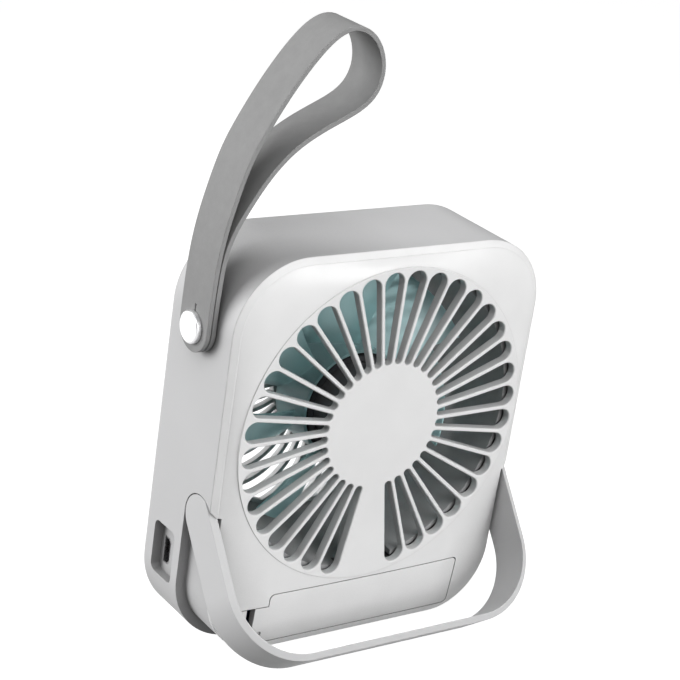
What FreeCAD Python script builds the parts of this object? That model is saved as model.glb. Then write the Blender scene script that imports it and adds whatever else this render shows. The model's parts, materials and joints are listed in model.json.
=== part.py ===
import FreeCAD, Part
import math
import os

V = FreeCAD.Vector

# Every piece is drawn upright, with the outlet grille towards -Y and the rear cover towards +Y.
# As it is written out it leans back on the open stand, the floor at z = 0 (see set_down).

# ---- Body
BODY_W = 111.0
BODY_H = 130.0
CORNER_R = 23.4
FRONT_Y = -19.4
SEAM_Y = 15.3
DISC_Y = 19.4
WALL = 2.2
FRONT_WALL = 2.6
FRONT_EDGE_R = 2.5
HALF_W = BODY_W / 2

# ---- Air path
AXIS_Z = 74.5
DUCT_R = 48.4
DUCT_OUTLET_R = 44.0
DUCT_WALL = 1.5
DUCT_END_Y = 15.8
DUCT_NOTCH = (-13.5, 6.5, 12.0, 30.0)
GRILLE_POCKET_R = 49.6
GRILLE_R = 49.4
GRILLE_T = 1.8
GRILLE_RIBS = 36
GRILLE_RIB_W = 1.3
GRILLE_HUB_R = 16.0
GRILLE_RIB_TWIST = ((15.0, 0.0), (33.0, 6.0), (48.0, 27.0))

# ---- Rear cover
COVER_CHAMFER_IN = 1.9
COVER_CHAMFER_UP = 1.3
COVER_LEDGE = 0.25
CROWN_TOP_Y = 19.25
CROWN_POWER = 1.8
CROWN_SECTIONS = 7
CROWN_TOP_R = 49.5
DISC_R = 50.9
SLOT_PITCH_DEG = 10.0
SLOTS_SKIPPED = (175.0, 185.0)
SLOT_TIP_R = 49.7
SLOT_ROOT_R = 20.1
SLOT_RIB_W = 1.3
SLOT_BEVEL = 0.25
COVER_INNER_Y = 16.6
COVER_HOLLOW_INSET = 5.2
LIP_T = 1.2
LIP_DEPTH = 2.0
LIP_GAP = 0.15
CHANNEL_HALF_W = 4.4
CHANNEL_WALL = 1.1
CHANNEL_DEPTH = 3.4

# ---- Battery door
DOOR_RIGHT_X = -39.0
DOOR_STEP_X = 32.3
DOOR_LEFT_X = 42.5
DOOR_BOTTOM_Z = 5.2
DOOR_TOP_Z = 22.7
DOOR_STEP_Z = 18.6
DOOR_CORNER_R = 1.6
DOOR_GAP = 0.3
DOOR_BACK_Y = 15.6
DOOR_NOTCH = (36.7, 39.6, 10.0)
DOOR_DIMPLE = (33.9, 8.7, 0.9)
DOOR_CLIP_X = 30.0
DOOR_CLIP_DEPTH = 4.5

# ---- Stand
PIVOT_Y = 9.5
PIVOT_Z = 47.8
STAND_HALF_W = 7.25
STAND_T = 2.0
STAND_INSET = 0.1
STAND_CHAMFER_IN = 1.8
STAND_CHAMFER_UP = 1.05
STAND_OPEN_DEG = 39.0
STAND_SWEEP_DEG = 60.0
RECESS_GAP = 0.3
RECESS_SIDE = 3.1
RECESS_BOTTOM = 3.3
RECESS_WALL = 1.8
NOTCH_TOP_Z = 50.95
STAND_BOSS_R = 3.6
STAND_BOSS_END_X = 49.8

# ---- Stance
FACET_RISE = 0.4

# ---- Strap and its rivet
STRAP_W = 15.1
STRAP_T = 1.5
RIVET_Y = 0.0
RIVET_Z = 105.4
RIVET_CAP_R = 4.9
RIVET_STEM_R = 2.0
RIVET_PAD = 0.7
RIVET_WASHER_T = 0.8
RIVET_END_X = 49.2
STRAP_HOLE_R = 2.08
STRAP_OUTER_X = 58.4
STRAP_INNER_X = 56.65
STRAP_ROUTE = (
    (STRAP_OUTER_X, 96.0), (STRAP_OUTER_X, 105.4), (58.2, 119.0), (57.75, 127.0), (56.75, 135.0),
    (54.1, 147.0), (50.8, 157.6), (46.6, 166.2), (41.0, 175.8), (36.3, 182.6), (31.0, 188.9),
    (26.8, 192.3), (22.4, 193.8), (17.3, 192.5), (13.2, 188.6), (11.1, 183.6), (10.9, 178.8),
    (12.9, 173.9), (17.0, 170.3), (22.0, 167.7), (29.0, 164.3), (36.9, 159.3), (44.0, 152.0),
    (50.3, 142.3), (54.2, 134.4), (56.0, 126.6), (56.45, 119.0), (STRAP_INNER_X, 112.0),
    (STRAP_INNER_X, 105.4), (STRAP_INNER_X, 96.0))

# ---- USB pocket and socket
USB_POCKET_Y = -7.4
USB_POCKET_Z = 28.2
USB_POCKET_W = 11.7
USB_POCKET_H = 17.2
USB_POCKET_R = 2.2
USB_POCKET_DEPTH = 3.2
USB_PORT_Y = -9.7
USB_PORT_Z = 26.8
USB_PORT_W = 3.0
USB_PORT_H = 8.0
USB_SHELL_T = 0.35
USB_LENGTH = 5.6

# ---- Battery and its bay
CELL_R = 9.1
CELL_L = 64.0
CELL_Y = 5.9
CELL_Z = 14.4
BAY_HALF_L = 38.2
BAY_WALL = 1.2
BAY_BACK_Y = -5.0
BAY_MOUTH_Y = 14.6
BAY_ROOF = 0.7
BAY_GAP = 0.15
BAY_TOP_Z = 24.3

# ---- Circuit board, switch and light
BOARD_T = 1.2
BOARD_Y = USB_PORT_Y - USB_PORT_W / 2 - USB_SHELL_T - BOARD_T
BOARD_POINTS = ((-16, 6.5), (36, 6.5), (44, 11), (50.8, 20), (50.8, 33), (40, 33), (40, 22.5), (-16, 22.5))
BUTTON_X = 0.0
BUTTON_Z = 13.4
BUTTON_R = 5.0
BUTTON_GAP = 0.25
BUTTON_PROUD = 0.8
BUTTON_FLANGE_R = 6.2
SWITCH_SIZE = 6.0
SWITCH_H = 2.4
PLUNGER_R = 1.6
LIGHT_X = 12.0
LIGHT_R = 1.2

# ---- Motor and impeller
MOUNT_R = 13.8
MOUNT_END_Y = 4.0
MOUNT_WALL = 1.5
MOUNT_SKIRT_R = (12.5, 13.3)
MOUNT_SKIRT_END_Y = 0.5
MOUNT_SCREW_R = 9.3
TUBE_R = 3.6
TUBE_BORE = 2.7
SHAFT_R = 1.2
STATOR_R = 13.0
STATOR_HUB_R = 6.4
STATOR_SHOE = 1.8
STATOR_NECK_HALF = 1.1
STATOR_POLES = 9
STATOR_Y = (-7.5, 0.0)
COIL_HALF_W = 2.0
COIL_OVERHANG = 1.0
MAGNET_R = (13.9, 15.9)
CUP_R = 17.2
CUP_Y = (-11.6, 2.4)
HUB_R = 18.2
HUB_Y = (-13.2, 3.3)
BLADE_COUNT = 7
BLADE_R = 43.2
BLADE_MID_Y = -7.4
BLADE_T = 1.5
BLADE_STATIONS = ((14.0, 15.0, 44.0, 1.4, 0.0), (24.0, 22.0, 38.0, 2.0, 3.0),
                  (36.0, 29.0, 32.0, 2.4, 8.0), (50.0, 36.0, 26.0, 2.6, 14.0))


def box(x0, x1, y0, y1, z0, z1):
    return Part.makeBox(x1 - x0, y1 - y0, z1 - z0, V(x0, y0, z0))


def rod_y(radius, y0, y1, x=0.0, z=AXIS_Z):
    return Part.makeCylinder(radius, y1 - y0, V(x, y0, z), V(0, 1, 0))


def ring_y(outer, inner, y0, y1, x=0.0, z=AXIS_Z):
    return rod_y(outer, y0, y1, x, z).cut(rod_y(inner, y0 - 1, y1 + 1, x, z))


def rod_x(radius, x0, x1, y, z):
    low = min(x0, x1)
    return Part.makeCylinder(radius, abs(x1 - x0), V(low, y, z), V(1, 0, 0))


def ring_x(outer, inner, x0, x1, y, z):
    low = min(x0, x1)
    high = max(x0, x1)
    return rod_x(outer, low, high, y, z).cut(rod_x(inner, low - 1, high + 1, y, z))


def union(shapes):
    first = shapes[0]
    if len(shapes) == 1:
        return first
    return first.fuse(shapes[1:]).removeSplitter()


def rounded_rect(x0, x1, z0, z1, radius, y):
    """Closed wire of a rectangle with rounded corners, in the plane at depth y."""
    edges = []
    corners = ((x1 - radius, z1 - radius, 0), (x0 + radius, z1 - radius, 90),
               (x0 + radius, z0 + radius, 180), (x1 - radius, z0 + radius, 270))
    arcs = []
    for cx, cz, start in corners:
        points = []
        for turn in (0, 45, 90):
            angle = math.radians(start + turn)
            points.append(V(cx + radius * math.cos(angle), y, cz + radius * math.sin(angle)))
        arcs.append(points)
    for index, points in enumerate(arcs):
        edges.append(Part.Arc(*points).toShape())
        following = arcs[(index + 1) % 4][0]
        if points[2].distanceToPoint(following) > 1e-6:
            edges.append(Part.makeLine(points[2], following))
    return Part.Wire(edges)


def body_outline(inset, y):
    return rounded_rect(-HALF_W + inset, HALF_W - inset, inset, BODY_H - inset, CORNER_R - inset, y)


def extrude_y(wire, depth):
    return Part.Face(wire).extrude(V(0, depth, 0))


def body_prism(inset, y0, y1):
    return extrude_y(body_outline(inset, y0), y1 - y0)


def body_taper(inset0, y0, inset1, y1):
    return Part.makeLoft([body_outline(inset0, y0), body_outline(inset1, y1)], True, True)


def polygon_y(points, y0, y1):
    loop = [V(x, y0, z) for x, z in points]
    loop.append(loop[0])
    return extrude_y(Part.makePolygon(loop), y1 - y0)


# ---- Shapes shared by the housing, the cover and the stand

def recess_profile(grow):
    """The stand's side recess seen along X: an arch round the pivot, open at the seam."""
    arch = rod_x(STAND_HALF_W + RECESS_GAP + grow, -60, 60, PIVOT_Y, PIVOT_Z)
    slot_start = PIVOT_Y - STAND_HALF_W - RECESS_GAP - grow
    return arch.fuse(box(-60, 60, slot_start, SEAM_Y + 5, -5, PIVOT_Z))


def recess_core(extra, y0, y1):
    """What is left of the body inside the stand's recess, pared by a further amount."""
    side = RECESS_SIDE + extra
    low = RECESS_BOTTOM + extra
    radius = CORNER_R - (side + low) / 2
    return extrude_y(rounded_rect(-HALF_W + side, HALF_W - side, low, BODY_H - side, radius, y0), y1 - y0)


def recess_cut():
    shell = body_prism(-3.0, -10, SEAM_Y + 1).cut(recess_core(0.0, -11, SEAM_Y + 2))
    return shell.common(recess_profile(0.0))


def stand_sweep():
    """All that the stand's inner face passes over as it swings out, with a little room."""
    inner = STAND_INSET + STAND_T + RECESS_GAP
    outside = Part.Face(rounded_rect(-HALF_W - 8, HALF_W + 8, -12, BODY_H, 1.0, PIVOT_Y))
    inside = Part.Face(rounded_rect(-HALF_W + inner, HALF_W - inner, inner, BODY_H + 20, CORNER_R - inner,
                                    PIVOT_Y))
    below = box(-80, 80, PIVOT_Y - 1, PIVOT_Y + 1, -20, PIVOT_Z)
    section = outside.cut(inside).common(below)
    return section.revolve(V(0, PIVOT_Y, PIVOT_Z), V(1, 0, 0), STAND_SWEEP_DEG)


def recess_tray():
    shell = body_prism(0.5, -10, SEAM_Y).cut(recess_core(RECESS_WALL, -11, SEAM_Y + 1))
    return shell.common(recess_profile(RECESS_WALL))


def stance():
    """The lean on the open stand, and the middle of the facet that the housing stands on."""
    edge_y = PIVOT_Y - STAND_HALF_W - RECESS_GAP
    swing = math.radians(STAND_OPEN_DEG)
    reach = PIVOT_Z - STAND_INSET
    bar_y = PIVOT_Y - STAND_HALF_W * math.cos(swing) + reach * math.sin(swing)
    bar_z = PIVOT_Z - STAND_HALF_W * math.sin(swing) - reach * math.cos(swing)
    slope = (bar_z - FACET_RISE) / (bar_y - edge_y)
    middle = V(0, edge_y - FACET_RISE / slope / 2, FACET_RISE / 2)
    return math.degrees(math.atan(slope)), middle


def below_floor():
    """The space under the floor as the leaning fan meets it."""
    lean, middle = stance()
    space = box(-60, 60, -30, 30, -10, middle.z)
    space.rotate(middle, V(1, 0, 0), lean)
    return space


def set_down(shape):
    """Leans an upright shape back on the open stand, the facet's middle at the origin."""
    lean, middle = stance()
    shape.rotate(middle, V(1, 0, 0), -lean)
    shape.translate(middle.negative())
    return shape


# ---- Housing

def usb_pocket(depth_x, grow):
    half_w = USB_POCKET_W / 2 + grow
    half_h = USB_POCKET_H / 2 + grow
    block = box(HALF_W - depth_x, HALF_W + 3, USB_POCKET_Y - half_w, USB_POCKET_Y + half_w,
                USB_POCKET_Z - half_h, USB_POCKET_Z + half_h)
    along_x = [edge for edge in block.Edges if abs(edge.tangentAt(edge.FirstParameter).x) > 0.9]
    return block.makeFillet(USB_POCKET_R + grow, along_x)


def usb_section(grow, x0, x1):
    """The D shaped outline of the socket, its two bevelled corners towards the rear."""
    half_w = USB_PORT_W / 2 + grow
    half_h = USB_PORT_H / 2 + grow
    bevel = 1.1
    y0 = USB_PORT_Y - half_w
    y1 = USB_PORT_Y + half_w
    corners = ((y0, -half_h), (y1 - bevel, -half_h), (y1, -half_h + bevel),
               (y1, half_h - bevel), (y1 - bevel, half_h), (y0, half_h))
    loop = [V(x0, y, USB_PORT_Z + z) for y, z in corners]
    loop.append(loop[0])
    return Part.Face(Part.makePolygon(loop)).extrude(V(x1 - x0, 0, 0))


def board_post(x, z):
    return rod_y(2.2, FRONT_Y + 1.0, BOARD_Y, x, z).cut(rod_y(0.9, BOARD_Y - 3.4, BOARD_Y + 1, x, z))


BOARD_SCREWS = ((-12.5, 18.5), (30.0, 10.5))
BAY_SCREWS = ((-36.0, 27.3), (36.0, 27.3))
BAY_EAR_R = 3.0


def duct_bore():
    """The air's way through: it narrows towards the outlet."""
    start = V(0, FRONT_Y, AXIS_Z)
    return Part.makeCone(DUCT_OUTLET_R, DUCT_R, DUCT_END_Y - FRONT_Y, start, V(0, 1, 0))


def duct():
    """The wall round the air's way, notched low down for the motor's leads."""
    notch_x0, notch_x1, notch_y, notch_top = DUCT_NOTCH
    notch = box(notch_x0, notch_x1, notch_y, DUCT_END_Y + 1, 0, notch_top)
    return rod_y(DUCT_R + DUCT_WALL, FRONT_Y + 2.0, DUCT_END_Y).cut(notch)


def housing():
    outer = body_prism(0.0, FRONT_Y, SEAM_Y)
    front_edges = [e for e in outer.Edges if abs(e.CenterOfMass.y - FRONT_Y) < 0.01]
    outer = outer.makeFillet(FRONT_EDGE_R, front_edges)
    inside_y = FRONT_Y + FRONT_WALL
    shell = outer.cut(body_prism(WALL, inside_y, SEAM_Y + 1))
    parts = [shell, recess_tray()]
    parts.append(duct())
    pocket_block = usb_pocket(USB_POCKET_DEPTH + 1.2, 1.2)
    parts.append(pocket_block.common(body_prism(0.5, FRONT_Y + 1, SEAM_Y - 1)))
    for x, z in BOARD_SCREWS:
        parts.append(board_post(x, z))
    for x, z in BAY_SCREWS:
        post = rod_y(2.4, inside_y - 0.5, BAY_BACK_Y, x, z)
        parts.append(post.cut(rod_y(0.9, BAY_BACK_Y - 6, BAY_BACK_Y + 1, x, z)))
    parts.append(rod_x(6.3, HALF_W - WALL - RIVET_PAD, HALF_W - WALL + 0.3, RIVET_Y, RIVET_Z))
    guide = ring_y(BUTTON_FLANGE_R + 1.3, BUTTON_FLANGE_R + 0.3, inside_y - 0.5, inside_y + 1.5,
                   BUTTON_X, BUTTON_Z)
    parts.append(guide)
    body = union(parts)
    cuts = [recess_cut(), stand_sweep(), below_floor(), usb_pocket(USB_POCKET_DEPTH, 0.0)]
    cuts.append(usb_section(USB_SHELL_T + 0.05, HALF_W - 12, HALF_W - USB_POCKET_DEPTH + 1))
    cuts.append(duct_bore())
    cuts.append(rod_y(GRILLE_POCKET_R, FRONT_Y - 1, FRONT_Y + GRILLE_T))
    cuts.append(rod_y(BUTTON_R + BUTTON_GAP, FRONT_Y - 1, inside_y + 1, BUTTON_X, BUTTON_Z))
    cuts.append(rod_y(LIGHT_R, FRONT_Y - 1, inside_y + 1, LIGHT_X, BUTTON_Z))
    cuts.append(rod_x(RIVET_STEM_R + 0.05, HALF_W - 6, HALF_W + 1, RIVET_Y, RIVET_Z))
    for side in (-1, 1):
        cuts.append(rod_x(STAND_BOSS_R + 0.08, side * 48, side * 56, PIVOT_Y, PIVOT_Z))
    for cut in cuts:
        body = body.cut(cut)
    for box_cut in lip_hooks(0.25):
        body = body.cut(box_cut)
    return body


# ---- Rear cover

def crown_radius(angle, inset):
    """Distance from the fan axis to the inset body outline, looking out at an angle."""
    dx = math.cos(angle)
    dz = math.sin(angle)
    half_w = HALF_W - inset
    top = BODY_H - inset - AXIS_Z
    bottom = inset - AXIS_Z
    radius = CORNER_R - inset
    reach = half_w / abs(dx) if abs(dx) > 1e-9 else 1e9
    if dz > 1e-9:
        reach = min(reach, top / dz)
    if dz < -1e-9:
        reach = min(reach, bottom / dz)
    centre_x = math.copysign(half_w - radius, dx)
    centre_z = (top - radius) if dz > 0 else (bottom + radius)
    hit_x = reach * dx
    hit_z = reach * dz
    if abs(hit_x) > abs(centre_x) and abs(hit_z) > abs(centre_z) and hit_z * centre_z > 0:
        along = centre_x * dx + centre_z * dz
        off2 = centre_x ** 2 + centre_z ** 2 - along ** 2
        reach = along + math.sqrt(max(radius ** 2 - off2, 0.0))
    return reach


def crown_section(share):
    """A closed curve a share of the way from the ledge to the disc, and its height."""
    points = []
    count = 96
    edge_y = SEAM_Y + COVER_CHAMFER_UP
    y = edge_y + (CROWN_TOP_Y - edge_y) * (1 - (1 - share) ** CROWN_POWER)
    for index in range(count):
        angle = 2 * math.pi * (index + 0.5) / count
        edge = crown_radius(angle, COVER_CHAMFER_IN + COVER_LEDGE)
        reach = edge + (CROWN_TOP_R - edge) * share
        points.append(V(reach * math.cos(angle), y, AXIS_Z + reach * math.sin(angle)))
    curve = Part.BSplineCurve()
    curve.interpolate(Points=points, PeriodicFlag=True)
    return Part.Wire([curve.toShape()])


def crown():
    """The pillowed face, from the ledge inside the chamfer up to the round disc."""
    sections = [crown_section(index / (CROWN_SECTIONS - 1)) for index in range(CROWN_SECTIONS)]
    return Part.makeLoft(sections, True, False)


def slot_wire(grow, y):
    """The teardrop outline of one slot, centred on the upward radius, grown all round."""
    half = math.radians(SLOT_PITCH_DEG / 2)
    rib = SLOT_RIB_W / 2 - grow
    tip_centre = (SLOT_TIP_R + SLOT_RIB_W / 2) / (1 + math.sin(half))
    root_centre = (SLOT_ROOT_R - SLOT_RIB_W / 2) / (1 - math.sin(half))
    tip_r = tip_centre * math.sin(half) - rib
    root_r = root_centre * math.sin(half) - rib
    lean = (math.sin(half), math.cos(half))

    def point(along, across):
        return V(across, y, AXIS_Z + along)

    root = (root_centre - root_r * lean[0], root_r * lean[1])
    tip = (tip_centre - tip_r * lean[0], tip_r * lean[1])
    tip_end = point(tip_centre + tip_r, 0)
    root_end = point(root_centre - root_r, 0)
    edges = [Part.makeLine(point(*root), point(*tip)),
             Part.Arc(point(*tip), tip_end, point(tip[0], -tip[1])).toShape(),
             Part.makeLine(point(tip[0], -tip[1]), point(root[0], -root[1])),
             Part.Arc(point(root[0], -root[1]), root_end, point(*root)).toShape()]
    return Part.Wire(edges)


def slot_cutter(angle_deg):
    """One slot right through the cover, its outer edge bevelled."""
    through = extrude_y(slot_wire(0.0, COVER_INNER_Y - 4), 12)
    mouth = Part.makeLoft([slot_wire(0.0, DISC_Y - SLOT_BEVEL),
                           slot_wire(2 * SLOT_BEVEL, DISC_Y + SLOT_BEVEL)], True, True)
    cutter = through.fuse(mouth)
    cutter.rotate(V(0, 0, AXIS_Z), V(0, 1, 0), angle_deg)
    return cutter


def slot_cutters():
    cutters = []
    count = int(360 / SLOT_PITCH_DEG)
    for index in range(count):
        angle = SLOT_PITCH_DEG * (index + 0.5)
        if angle not in SLOTS_SKIPPED:
            cutters.append(slot_cutter(angle))
    return cutters


def door_outline(shrink, y0, y1):
    """The door's stepped outline with small rounded corners, as a solid."""
    main = extrude_y(rounded_rect(DOOR_RIGHT_X + shrink, DOOR_STEP_X - shrink, DOOR_BOTTOM_Z + shrink,
                                  DOOR_TOP_Z - shrink, DOOR_CORNER_R, y0), y1 - y0)
    tongue = extrude_y(rounded_rect(DOOR_STEP_X - 8, DOOR_LEFT_X - shrink, DOOR_BOTTOM_Z + shrink,
                                    DOOR_STEP_Z - shrink, DOOR_CORNER_R, y0), y1 - y0)
    return main.fuse(tongue).removeSplitter()


HOOK_PLACES = ((-30.0, "top"), (30.0, "top"), (-1, "side"), (1, "side"))


def lip_hooks(grow):
    """Four small wedges on the cover's lip that click into windows in the housing wall."""
    hooks = []
    inset = WALL + LIP_GAP
    y0 = SEAM_Y - LIP_DEPTH
    for place, kind in HOOK_PLACES:
        if kind == "top":
            z1 = BODY_H - inset + 0.7 + grow
            hooks.append(box(place - 4 - grow, place + 4 + grow, y0 + 0.2 - grow, y0 + 1.3 + grow,
                             BODY_H - inset - 0.3, z1))
        if kind == "side":
            x0 = place * (HALF_W - inset - 0.3)
            x1 = place * (HALF_W - inset + 0.7 + grow)
            hooks.append(box(min(x0, x1), max(x0, x1), y0 + 0.2 - grow, y0 + 1.3 + grow,
                             84 - grow, 92 + grow))
    return hooks


def cover_blank():
    edge_y = SEAM_Y + COVER_CHAMFER_UP
    frame = body_taper(0.0, SEAM_Y, COVER_CHAMFER_IN, edge_y)
    disc = rod_y(DISC_R, edge_y - 0.4, DISC_Y)
    blank = frame.fuse([crown(), disc])
    around = body_prism(-3.0, SEAM_Y - 4, DISC_Y + 2).cut(recess_core(0.0, SEAM_Y - 5, DISC_Y + 3))
    notch = recess_profile(0.0).fuse(box(-60, 60, SEAM_Y - 4, DISC_Y + 2, -5, NOTCH_TOP_Z))
    return blank.cut(around.common(notch)).cut(stand_sweep())


def cover_lip():
    outer = body_prism(WALL + LIP_GAP, SEAM_Y - LIP_DEPTH, SEAM_Y + 0.5)
    lip = outer.cut(body_prism(WALL + LIP_GAP + LIP_T, SEAM_Y - LIP_DEPTH - 1, SEAM_Y + 1))
    return lip.common(box(-60, 60, 0, 20, PIVOT_Z + STAND_HALF_W + 3.5, 140))


def rear_cover(blank):
    cover = blank.cut(body_prism(COVER_HOLLOW_INSET, SEAM_Y - 1, COVER_INNER_Y))
    additions = [cover_lip()] + lip_hooks(0.0)
    for side in (-1, 1):
        near = side * CHANNEL_HALF_W
        far = side * (CHANNEL_HALF_W + CHANNEL_WALL)
        additions.append(box(min(near, far), max(near, far), COVER_INNER_Y - CHANNEL_DEPTH,
                             COVER_INNER_Y + 0.2, BAY_TOP_Z + 2.0, AXIS_Z - MOUNT_R - 0.4))
    for index in range(3):
        angle = math.radians(90 + 120 * index)
        x = MOUNT_SCREW_R * math.cos(angle)
        z = AXIS_Z + MOUNT_SCREW_R * math.sin(angle)
        additions.append(ring_y(2.3, 0.9, MOUNT_END_Y + 4.5, COVER_INNER_Y + 0.3, x, z))
    cover = cover.fuse(additions).removeSplitter()
    cover = cover.cut(door_outline(0.0, SEAM_Y - 1, DISC_Y + 2))
    return cover.cut(Part.makeCompound(slot_cutters()))


def battery_door(blank):
    door = blank.common(door_outline(DOOR_GAP, DOOR_BACK_Y, DISC_Y + 2))
    x0, x1, z0 = DOOR_NOTCH
    door = door.cut(box(x0, x1, DOOR_BACK_Y - 1, DISC_Y + 2, z0, DOOR_STEP_Z + 2))
    x, z, radius = DOOR_DIMPLE
    door = door.cut(rod_y(radius, DISC_Y - 2.4, DISC_Y + 2, x, z))
    clips = []
    for x in (-DOOR_CLIP_X, 0.0, DOOR_CLIP_X - 4):
        clips.append(box(x - 3, x + 3, DOOR_BACK_Y - 1.3, DOOR_BACK_Y + 0.5,
                         DOOR_TOP_Z - 2.4, DOOR_TOP_Z - 1.2))
    ends = ((-BAY_HALF_L + BAY_WALL + 0.3, -BAY_HALF_L + BAY_WALL + 1.3),
            (DOOR_STEP_X + 7.6, DOOR_STEP_X + 8.7))
    for x0, x1 in ends:
        clips.append(box(x0, x1, DOOR_BACK_Y - DOOR_CLIP_DEPTH, DOOR_BACK_Y + 0.5, 10.6, 16.6))
    return union([door] + clips)


# ---- Front grille

def spiral_rib(angle_deg):
    """One curved rib: a band between two arcs, from the hub out to the ring."""
    points = []
    for radius, twist in GRILLE_RIB_TWIST:
        angle = math.radians(angle_deg + twist)
        points.append(V(radius * math.cos(angle), FRONT_Y, AXIS_Z + radius * math.sin(angle)))
    circle = Part.Arc(*points).toShape().Curve
    centre = circle.Center
    sides = []
    for offset in (-GRILLE_RIB_W / 2, GRILLE_RIB_W / 2):
        side = []
        for point in points:
            away = point.sub(centre)
            away.normalize()
            side.append(point.add(away * offset))
        sides.append(side)
    inner, outer = sides
    edges = [Part.Arc(*inner).toShape(), Part.makeLine(inner[2], outer[2]),
             Part.Arc(outer[2], outer[1], outer[0]).toShape(), Part.makeLine(outer[0], inner[0])]
    return extrude_y(Part.Wire(edges), GRILLE_T)


def front_grille():
    parts = [ring_y(GRILLE_R, DUCT_OUTLET_R - 1.0, FRONT_Y, FRONT_Y + GRILLE_T)]
    parts.append(rod_y(GRILLE_HUB_R, FRONT_Y, FRONT_Y + 2.2))
    for index in range(GRILLE_RIBS):
        parts.append(spiral_rib(360.0 * index / GRILLE_RIBS))
    return union(parts)


# ---- Stand

def stand_band():
    chamfer_y = PIVOT_Y + STAND_HALF_W - STAND_CHAMFER_UP
    low_y = PIVOT_Y - STAND_HALF_W
    high_y = PIVOT_Y + STAND_HALF_W
    outer = body_prism(STAND_INSET, low_y, chamfer_y)
    outer = outer.fuse(body_taper(STAND_INSET, chamfer_y, STAND_INSET + STAND_CHAMFER_IN, high_y))
    band = outer.cut(body_prism(STAND_INSET + STAND_T, low_y - 1, high_y + 1))
    arms = box(-60, 60, low_y - 1, high_y + 1, -5, PIVOT_Z)
    return band.common(arms.fuse(rod_x(STAND_HALF_W, -60, 60, PIVOT_Y, PIVOT_Z)))


def stand():
    parts = [stand_band()]
    arm_inner = HALF_W - STAND_INSET - STAND_T
    for side in (-1, 1):
        boss = rod_x(STAND_BOSS_R, side * STAND_BOSS_END_X, side * (arm_inner + 0.5), PIVOT_Y, PIVOT_Z)
        hole = rod_x(1.02, side * (STAND_BOSS_END_X - 1), side * (STAND_BOSS_END_X + 3.4), PIVOT_Y, PIVOT_Z)
        parts.append(boss.cut(hole))
    whole = union(parts)
    whole.rotate(V(0, PIVOT_Y, PIVOT_Z), V(1, 0, 0), STAND_OPEN_DEG)
    return whole


def both_sides(make):
    return Part.makeCompound([make(-1), make(1)])


def stand_spacer(side):
    floor = HALF_W - RECESS_SIDE
    arm_inner = HALF_W - STAND_INSET - STAND_T
    return ring_x(6.2, STAND_BOSS_R + 0.25, side * (floor + 0.02), side * (arm_inner - 0.05),
                  PIVOT_Y, PIVOT_Z)


def stand_spring_washer(side):
    wall = HALF_W - RECESS_SIDE - RECESS_WALL
    return ring_x(5.6, STAND_BOSS_R + 0.25, side * (STAND_BOSS_END_X + 0.05), side * wall,
                  PIVOT_Y, PIVOT_Z)


def stand_retainer(side):
    return ring_x(5.6, 1.25, side * (STAND_BOSS_END_X - 0.8), side * STAND_BOSS_END_X, PIVOT_Y, PIVOT_Z)


def screw_x(side, x_head, length, radius, head_r, head_h):
    inward = -side
    shank = rod_x(radius, x_head, x_head - inward * length, PIVOT_Y, PIVOT_Z)
    head = rod_x(head_r, x_head, x_head + inward * head_h, PIVOT_Y, PIVOT_Z)
    slot = box(-60, 60, PIVOT_Y - 0.25, PIVOT_Y + 0.25, PIVOT_Z - head_r, PIVOT_Z + head_r)
    far = x_head + inward * head_h
    slot = slot.common(box(min(far, far - inward * 0.6), max(far, far - inward * 0.6),
                           PIVOT_Y - 9, PIVOT_Y + 9, PIVOT_Z - 9, PIVOT_Z + 9))
    return shank.fuse(head).cut(slot)


def stand_screw(side):
    return screw_x(side, side * (STAND_BOSS_END_X - 0.8), 3.8, 1.0, 2.2, 1.3)


# ---- Strap

def offset_curve(curve, offset, count):
    points = []
    first, last = curve.FirstParameter, curve.LastParameter
    for index in range(count + 1):
        at = first + (last - first) * index / count
        tangent = curve.tangent(at)[0]
        normal = V(tangent.z, 0, -tangent.x)
        points.append(curve.value(at).add(normal * offset))
    side = Part.BSplineCurve()
    side.interpolate(Points=points)
    return side.toShape(), points[0], points[-1]


def strap():
    y0 = RIVET_Y - STRAP_W / 2
    route = Part.BSplineCurve()
    route.interpolate(Points=[V(x, y0, z) for x, z in STRAP_ROUTE])
    left, left_start, left_end = offset_curve(route, STRAP_T / 2, 90)
    right, right_start, right_end = offset_curve(route, -STRAP_T / 2, 90)
    wire = Part.Wire(Part.__sortEdges__([left, Part.makeLine(left_end, right_end), right,
                                         Part.makeLine(right_start, left_start)]))
    band = extrude_y(wire, STRAP_W)
    keep = box(0, 70, y0 - 1, y0 + STRAP_W + 1, RIVET_Z, 220)
    keep = keep.fuse(rod_x(STRAP_W / 2, 50, 70, RIVET_Y, RIVET_Z))
    band = band.common(keep)
    band = band.cut(rod_x(STRAP_HOLE_R, 50, 70, RIVET_Y, RIVET_Z))
    return band.cut(box(50, 70, -0.25, 0.25, RIVET_Z, RIVET_Z + RIVET_CAP_R + 2.0))


def strap_washer():
    return ring_x(5.2, RIVET_STEM_R + 0.05, HALF_W, STRAP_INNER_X - STRAP_T / 2 - 0.05,
                  RIVET_Y, RIVET_Z)


def rivet_cap():
    seat = STRAP_OUTER_X + STRAP_T / 2 + 0.08
    cap = rod_x(RIVET_CAP_R, seat, seat + 1.7, RIVET_Y, RIVET_Z)
    rim = [e for e in cap.Edges if abs(e.CenterOfMass.x - seat - 1.7) < 0.01]
    cap = cap.makeFillet(0.7, rim)
    return cap.fuse(rod_x(RIVET_STEM_R, RIVET_END_X, seat + 0.5, RIVET_Y, RIVET_Z)).removeSplitter()


def rivet_washer():
    seat = HALF_W - WALL - RIVET_PAD
    return ring_x(5.5, RIVET_STEM_R + 0.05, seat - RIVET_WASHER_T, seat, RIVET_Y, RIVET_Z)


def rivet_nut():
    seat = HALF_W - WALL - RIVET_PAD - RIVET_WASHER_T
    return ring_x(3.6, RIVET_STEM_R, seat - 2.2, seat, RIVET_Y, RIVET_Z)


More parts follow.
